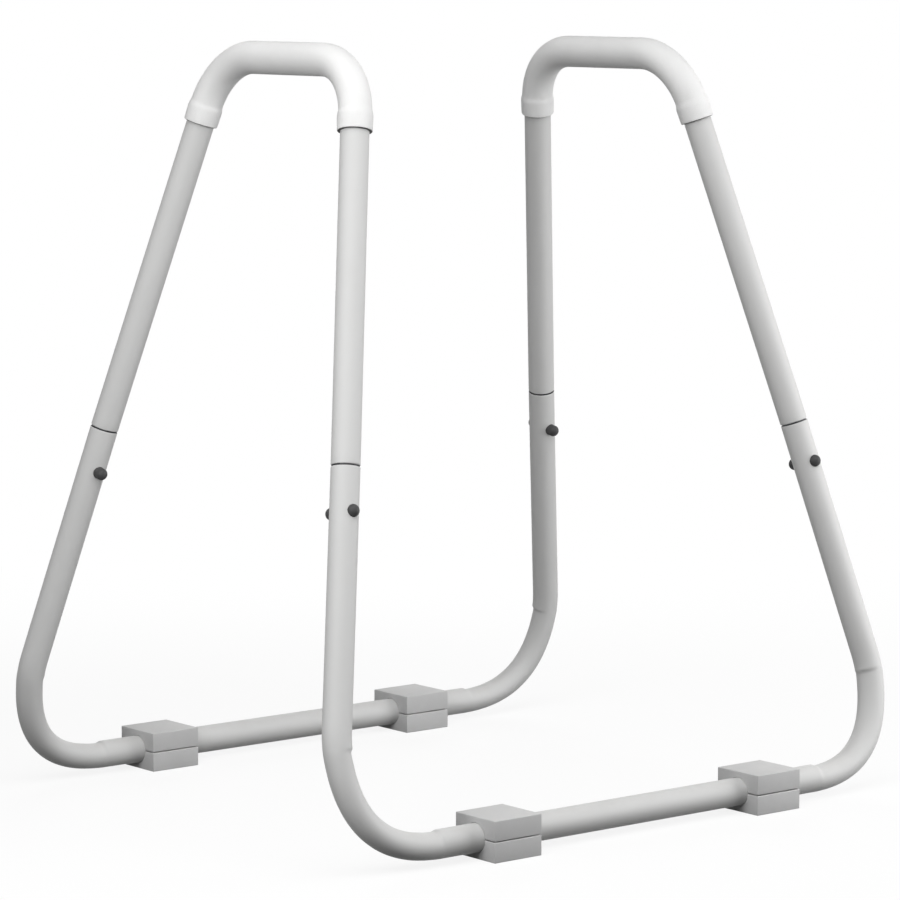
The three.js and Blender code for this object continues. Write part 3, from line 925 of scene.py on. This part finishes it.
# %% Make the grips
def make_grip(side):
    front, rear, first, second = plan_handle(side)
    ups = [leg["upper_up"] * (GRIP_END_DROP / leg["upper_up"].z) for leg in (front, rear)]
    ends = [front["top"] - ups[0], rear["top"] - ups[1]]
    straight = (first["start"] - ends[0]).length
    slope_stops = [COLLAR_LENGTH + COLLAR_SLOPE * step / SLOPE_RINGS for step in range(SLOPE_RINGS)]
    soft_stops = [stop for stop in RIM_STOPS + slope_stops if stop < straight - LEAST_STEP]
    soft_stops.append(straight)
    shape = bmesh.new()
    skin_ring = start_ring(shape, ends[0], front["upper_up"], GRIP_RADIUS, TUBE_SIDES)
    bore_ring = start_ring(shape, ends[0], front["upper_up"], GRIP_BORE, TUBE_SIDES)
    far_edges = []
    for ring in (skin_ring, bore_ring):
        ring = push_stops(shape, ring, front["upper_up"], soft_stops)
        ring = push_round(shape, ring, first, GRIP_BEND_STEPS)
        ring = push_straight(shape, ring, second["start"] - ring["centre"])
        ring = push_round(shape, ring, second, GRIP_BEND_STEPS)
        ring = push_stops(shape, ring, rear["upper_up"], soft_stops[::-1])
        far_edges += ring["edges"]
    for point in shape.verts:
        set_collar(point, first, second, ends, straight)
    bmesh.ops.bridge_loops(shape, edges=skin_ring["edges"] + bore_ring["edges"])
    bmesh.ops.bridge_loops(shape, edges=far_edges)
    grip = finish_piece(shape, f"grip_{side}_foam", grip_finish, "grip", "frame", f"grip_{side}")
    mouths = [(ends[0], front["upper_up"]), (ends[1], rear["upper_up"])]
    print(side, "grip:", shade_the_cut(grip, mouths), "cut faces")
    return grip


# The downward cut faces at both mouths take the finish with painted shade.
def shade_the_cut(grip, mouths):
    def on_cut(face):
        for mouth, up in mouths:
            off = face.center - mouth
            near = off.length < 2.0 * GRIP_RADIUS and abs(off.dot(up)) < COLLAR_ROUND * CUT_SHARE
            if near and face.normal.dot(up) < FACES_DOWN:
                return True
        return False

    return refinish(grip, cut_shade_finish, on_cut)


def set_collar(point, first, second, ends, straight):
    for bend, end in ((first, ends[0]), (second, ends[1])):
        leg_way = (bend["start"] - end if bend is first else bend["end"] - end).normalized()
        along = (point.co - end).dot(leg_way)
        if along < straight:
            centre = end + leg_way * along
            distance = along
        else:
            out = point.co - bend["pivot"]
            flat = out - bend["axis"] * out.dot(bend["axis"])
            edge_way = (bend["start"] if bend is first else bend["end"]) - bend["pivot"]
            distance = straight + edge_way.angle(flat, 0.0) * bend["radius"]
            centre = bend["pivot"] + flat.normalized() * bend["radius"]
        if distance > COLLAR_LENGTH + COLLAR_SLOPE:
            continue
        spoke = point.co - centre
        if spoke.length > (GRIP_RADIUS + GRIP_BORE) / 2:
            point.co = centre + spoke * (1.0 + collar_rise(distance) / spoke.length)
        return


for side in SIDES:
    grip = make_grip(side)
    print(grip.name, len(grip.data.polygons), "faces")

# %% [markdown]
# ## The feet
#
# A foot is two half blocks of rubber clamped round the bar. The dark line at half height is the gap
# between them: both halves have a small bevel there, as all round. Each half is a cube that is
# scaled, bevelled, and cut by the bar and by the screw holes from below. The cutter of the bar's
# bore flares where it leaves the block, which breaks the sharp edge round the tube.

# %% Make the feet
FOOT_SIZE = Vector((0.072, 0.073, 0.0504))
FOOT_X = 0.2112
BAR_Y = 0.3479
FOOT_BEVEL = 0.001
PARTING_GAP = 0.0012
SCREW_PLACES = [(x, y) for x in (-0.022, 0.022) for y in (-0.027, 0.027)]
BORE_RADIUS = 0.0178
BORE_FLARE = [(-0.02, 0.0004), (0.0, 0.0004), (0.0005, 0.00012), (FOOT_BEVEL, 0.0)]
BORE = [(place - FOOT_SIZE.x / 2, BORE_RADIUS + growth) for place, growth in BORE_FLARE]
BORE += [(-place, radius) for place, radius in BORE[::-1]]
HEAD_HOLE = [(-0.01, 0.0048), (0.0073, 0.0048)]
HEAD_HOLE_SIDES = 32
ALONG_BAR = Vector((1.0, 0.0, 0.0))
UPWARD = Vector((0.0, 0.0, 1.0))


def make_foot_half(end, side, upper):
    height = FOOT_SIZE.z / 2 - PARTING_GAP / 2
    centre = Vector((SIDES[side] * FOOT_X, ENDS[end] * BAR_Y, height / 2))
    if upper:
        centre.z = FOOT_SIZE.z - height / 2
    shape = bmesh.new()
    bmesh.ops.create_cube(shape, size=1.0)
    bmesh.ops.scale(shape, verts=shape.verts, vec=(FOOT_SIZE.x, FOOT_SIZE.y, height))
    bmesh.ops.translate(shape, verts=shape.verts, vec=centre)
    round_edges(shape, shape.edges[:], FOOT_BEVEL, 4)
    half = "top" if upper else "bottom"
    node = f"foot_{half}_{end}_{side}"
    foot = finish_piece(shape, f"{node}_rubber", foot_finish, "foot", "frame", node)
    bar = Vector((SIDES[side] * FOOT_X, ENDS[end] * BAR_Y, FOOT_SIZE.z / 2))
    cut_with(foot, round_cutter("bar_bore", bar, ALONG_BAR, BORE, TUBE_SIDES))
    for x, y in () if upper else SCREW_PLACES:
        sole = Vector((bar.x + x, bar.y + y, 0.0))
        cut_with(foot, round_cutter("screw_head_hole", sole, UPWARD, HEAD_HOLE, HEAD_HOLE_SIDES))
    return foot


for end in ENDS:
    for side in SIDES:
        halves = [make_foot_half(end, side, upper) for upper in (False, True)]
        print(end, side, "foot:", [len(half.data.polygons) for half in halves], "faces")

# %% [markdown]
# ## The snap buttons
#
# A button is a plug with a domed tip, so it is a half profile spun once round its axis. The outer
# ones are low domes, the inner ones stand tall for the thumb. The dome is a cap of a slightly
# larger ball, which leaves a crisp rim between side and dome.

# %% Make the snap buttons
BUTTON_FOOT = 0.0135
DOME_HEIGHT = 0.0056
REACHES = {"outer": 0.0068, "inner": 0.0128}
BUTTON_SIDES = 48
BUTTON_CHAMFER = 0.0004
RIM_STEP = 0.0002
DOME_STEPS = 8


def make_button(end, side, face):
    leg = legs[end, side]
    out = leg["outward"] if face == "outer" else -leg["outward"]
    tip = TUBE_RADIUS + REACHES[face]
    ball = (BUTTON_RADIUS**2 + DOME_HEIGHT**2) / (2 * DOME_HEIGHT)
    rim = math.asin(BUTTON_RADIUS / ball)
    profile = [(0.0, BUTTON_FOOT), (BUTTON_RADIUS - BUTTON_CHAMFER, BUTTON_FOOT)]
    profile.append((BUTTON_RADIUS, BUTTON_FOOT + BUTTON_CHAMFER))
    profile.append((BUTTON_RADIUS, tip - DOME_HEIGHT - RIM_STEP))
    for step in range(DOME_STEPS + 1):
        angle = rim * (1.0 - step / DOME_STEPS)
        profile.append((ball * math.sin(angle), tip - ball * (1.0 - math.cos(angle))))
    shape = bmesh.new()
    points = [shape.verts.new((radius, 0.0, height)) for radius, height in profile]
    edges = [shape.edges.new(pair) for pair in zip(points, points[1:])]
    bmesh.ops.spin(
        shape,
        geom=points + edges,
        cent=(0, 0, 0),
        axis=(0, 0, 1),
        angle=2 * math.pi,
        steps=BUTTON_SIDES,
        use_merge=True,
    )
    bmesh.ops.remove_doubles(shape, verts=shape.verts, dist=MERGE_WITHIN)
    bmesh.ops.transform(shape, matrix=stand_at(leg["button"], out), verts=shape.verts)
    name = f"snap_button_{face}_{end}_{side}"
    body = f"{face}_button_{end}_{side}"
    return finish_piece(shape, f"{name}_cap", button_finish, "button", body, name)


buttons = [make_button(end, side, face) for end in ENDS for side in SIDES for face in REACHES]
print(len(buttons), "buttons of", len(buttons[0].data.polygons), "faces")

# %% [markdown]
# ## The snap springs
#
# The two buttons of a leg stand on a steel strip that is bent into a narrow V inside the spigot.
# When a button is pressed, its arm of the V bends inward with it. The rings along the arm are what
# lets it bend.

# %% Make the snap springs
SPRING_WIDTH = 0.009
SPRING_THICKNESS = 0.0008
SPRING_BEND_RADIUS = 0.003
SPRING_BEND_STEPS = 8
SPRING_EDGE = 0.00012
SPRING_EDGE_ANGLE = 1.0
ARM_CORNERS = [(0.0001, 0.051), (0.004, 0.051), (0.012768, 0.013), (0.012768, -0.013)]
ARM_RINGS = 14


def start_strip(shape, centre, way, across):
    points = bmesh.ops.create_grid(shape, x_segments=1, y_segments=1, size=0.5)["verts"]
    bmesh.ops.scale(shape, verts=points, vec=(SPRING_THICKNESS, SPRING_WIDTH, 1.0))
    turn = Matrix((across.cross(way), across, way)).transposed().to_4x4()
    bmesh.ops.transform(shape, matrix=Matrix.Translation(centre) @ turn, verts=points)
    return {"points": points, "edges": shape.edges[:], "centre": centre}


def make_spring_arm(end, side, face):
    leg = legs[end, side]
    out = leg["outward"] if face == "outer" else -leg["outward"]
    corners = [leg["button"] + out * reach + leg["up"] * height for reach, height in ARM_CORNERS]
    shape = bmesh.new()
    ring = start_strip(shape, corners[0], out, leg["up"].cross(out))
    for before, corner, after in zip(corners, corners[1:], corners[2:]):
        bend = plan_bend(before, corner, after, SPRING_BEND_RADIUS)
        way = (bend["start"] - ring["centre"]) / ARM_RINGS
        for _ in range(ARM_RINGS):
            ring = push_straight(shape, ring, way)
        ring = push_round(shape, ring, bend, SPRING_BEND_STEPS)
    ring = push_straight(shape, ring, corners[-1] - ring["centre"])
    bmesh.ops.contextual_create(shape, geom=ring["edges"])
    closed = [edge for edge in shape.edges if len(edge.link_faces) == 2]
    sharp = [edge for edge in closed if edge.calc_face_angle() > SPRING_EDGE_ANGLE]
    round_edges(shape, sharp, SPRING_EDGE, 2)
    node = f"snap_spring_{end}_{side}"
    arm = finish_piece(shape, f"{node}_{face}_arm", spring_finish, "spring", None, node)
    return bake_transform(arm)


arms = [make_spring_arm(end, side, face) for end in ENDS for side in SIDES for face in REACHES]
print(len(arms), "spring arms of", len(arms[0].data.polygons), "faces")

# %% [markdown]
# ## The screws
#
# The clamp screws keep their CAD shape, because they are seen only from below, deep in their holes.
# They only need their finish.

# %% Dress the screws
screws = [node for name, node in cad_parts.items() if name.startswith("foot_screw")]
for screw in screws:
    screw.data.materials.clear()
    screw.data.materials.append(screw_finish)
print("dressed", len(screws), "screws")

# %% [markdown]
# ## Floor, light and air
#
# The stand is shown as in a studio: a white floor that runs into white air. Seen by the camera,
# floor and air glow white by themselves, so no lamp has to burn them out. Near the stand a small
# share of what is seen is ordinary lit paper, which carries the soft shadow. That share fades with
# distance, so the floor has no edge or horizon. What the tubes receive from the floor is little, as
# from dark paper, so their undersides stay dark.


# %% Floor and world
def is_seen(tree):
    rays = add_node(tree, "ShaderNodeLightPath")
    seen = maths(tree, "MAXIMUM", rays.outputs["Is Camera Ray"], rays.outputs["Is Glossy Ray"])
    return maths(tree, "MAXIMUM", seen, rays.outputs["Is Transmission Ray"])


FLOOR_HALF = 30.0
FLOOR_GREY = (0.09, 0.09, 0.09, 1.0)
PAPER_WHITE = (0.9, 0.9, 0.9, 1.0)
WHITE = (1.0, 1.0, 1.0, 1.0)
SHADOW_SHARE = 0.14
SHADOW_NEAR = 0.7
SHADOW_FAR = 2.0
AIR_LIGHT = 0.05

floor_shape = bmesh.new()
bmesh.ops.create_grid(floor_shape, x_segments=1, y_segments=1, size=FLOOR_HALF)
floor = object_from("studio_floor", floor_shape)
floor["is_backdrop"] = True

paper = bpy.data.materials.new("floor_paper")
tree = empty_tree(paper)
matte = add_node(tree, "ShaderNodeBsdfDiffuse", Color=FLOOR_GREY)
pale = add_node(tree, "ShaderNodeBsdfDiffuse", Color=PAPER_WHITE)
glow = add_node(tree, "ShaderNodeEmission", Color=WHITE, Strength=1.0)
from_middle = add_node(tree, "ShaderNodeVectorMath", {"operation": "LENGTH"})
read_place(tree, from_middle.inputs[0])
shadow = remap(tree, from_middle.outputs["Value"], SHADOW_NEAR, SHADOW_FAR, SHADOW_SHARE, 0.0)
seen_floor = mix_shaders(tree, shadow, glow.outputs[0], pale.outputs[0])
floor_mix = mix_shaders(tree, is_seen(tree), matte.outputs[0], seen_floor)
tree.links.new(floor_mix, add_node(tree, "ShaderNodeOutputMaterial").inputs["Surface"])
floor.data.materials.append(paper)

world = bpy.data.worlds.new("studio_air")
bpy.context.scene.world = world
tree = empty_tree(world)
backdrop = add_node(tree, "ShaderNodeBackground", Color=WHITE, Strength=1.0)
air = add_node(tree, "ShaderNodeBackground", Color=WHITE, Strength=AIR_LIGHT)
air_mix = mix_shaders(tree, is_seen(tree), air.outputs[0], backdrop.outputs[0])
tree.links.new(air_mix, add_node(tree, "ShaderNodeOutputWorld").inputs["Surface"])
print("floor and world ready")

# %% [markdown]
# Four soft boxes light the stand, all aimed at its middle: a large one high in front, which makes
# the tops of bars and grips bright, a lower one at the right, a small one close at the left, and
# one behind. That one faces the camera across the stand, so that the back isn't dark when somebody
# walks round it, and it is kept out of reflections, because it would glare on the tops of the feet.

# %% Soft boxes
LAMP_AIM = Vector((0.0, 0.0, 0.45))


def soft_box(name, place, side, power):
    light = bpy.data.lights.new(name, "AREA")
    light.shape = "SQUARE"
    light.size = side
    light.energy = power
    lamp = bpy.data.objects.new(name, light)
    lamp.location = place
    lamp.rotation_euler = (Vector(place) - LAMP_AIM).to_track_quat("Z", "Y").to_euler()
    lamp.visible_camera = False
    bpy.context.scene.collection.objects.link(lamp)
    return lamp


soft_box("box_left", place=(-1.64, -0.56, 1.07), side=0.95, power=13.7)
soft_box("box_right", place=(1.52, -1.19, 0.57), side=1.5, power=29.5)
soft_box("box_above", place=(-0.85, -1.51, 2.75), side=3.0, power=69.0)
behind = soft_box("box_behind", place=(1.9, 2.35, 0.85), side=1.6, power=62.0)
behind.visible_glossy = False

# %% [markdown]
# ## Finish
#
# The box of the dressed model is set beside the CAD model's box, and how far it grew is printed.

# %% Keep both boxes and close
visual_box = [list(corner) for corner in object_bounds()]
growth = [v - c for v, c in zip(sum(visual_box, []), sum(cad_box, []))]
print("visual box grew by (mm):", [round(1000 * g, 2) for g in growth])
